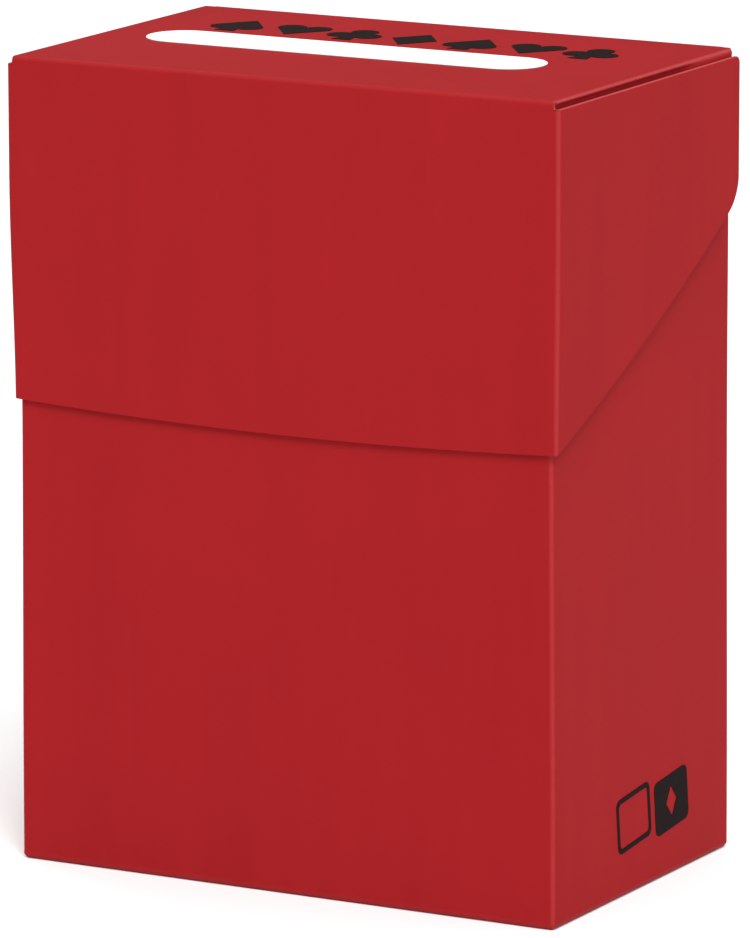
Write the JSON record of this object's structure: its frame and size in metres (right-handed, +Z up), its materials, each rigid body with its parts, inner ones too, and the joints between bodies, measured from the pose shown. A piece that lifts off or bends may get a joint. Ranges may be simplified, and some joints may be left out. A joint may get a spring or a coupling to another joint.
{
  "type": "card deck box",
  "caption": "Tall flip-top box folded from one plastic sheet, with an overlapping lid, for a deck of sleeved playing cards and a loose card divider.",
  "frame": {"origin": "middle of the base of the body, on the surface that the box stands on", "axes": "+Z up, -Y towards the front flap, +X towards the right side"},
  "size_m": [0.0722, 0.0454, 0.0959],
  "materials": {
    "red_sheet": "satin, finely grained",
    "crease": "satin, slightly whitened",
    "black_print": "flat ink",
    "white_label": "matte, takes a pen",
    "divider_sheet": "milky, satin"
  },
  "bodies": {
    "body": {"back_wall": "red_sheet", "front_wall": "red_sheet", "left_wall": "red_sheet", "right_wall": "red_sheet", "seam_flap": "red_sheet", "seam_welds": "red_sheet", "bottom_panel": "red_sheet", "bottom_left_flap": "red_sheet", "bottom_right_flap": "red_sheet", "bottom_tuck_flap": "red_sheet", "bottom_welds": "red_sheet", "hinge_crease": "crease", "side_icon": "black_print"},
    "lid": {"lid_top": "red_sheet", "lid_front_flap": "red_sheet", "lid_left_wing": "red_sheet", "lid_right_wing": "red_sheet", "lid_left_tab": "red_sheet", "lid_right_tab": "red_sheet", "write_on_strip": "white_label", "lid_pips": "black_print"},
    "divider": {"divider": "divider_sheet"}
  },
  "joints": [
    {"name": "lid_hinge", "type": "hinge", "parent": "body", "child": "lid", "pos_m": [0, 0.02225, 0.09565], "axis": [-1, 0, 0], "range_deg": [0, 240]},
    {"name": "divider_slide", "type": "slide", "parent": "body", "child": "divider", "axis": [0, -1, 0], "range_m": [0, 0.0412]}
  ]
}
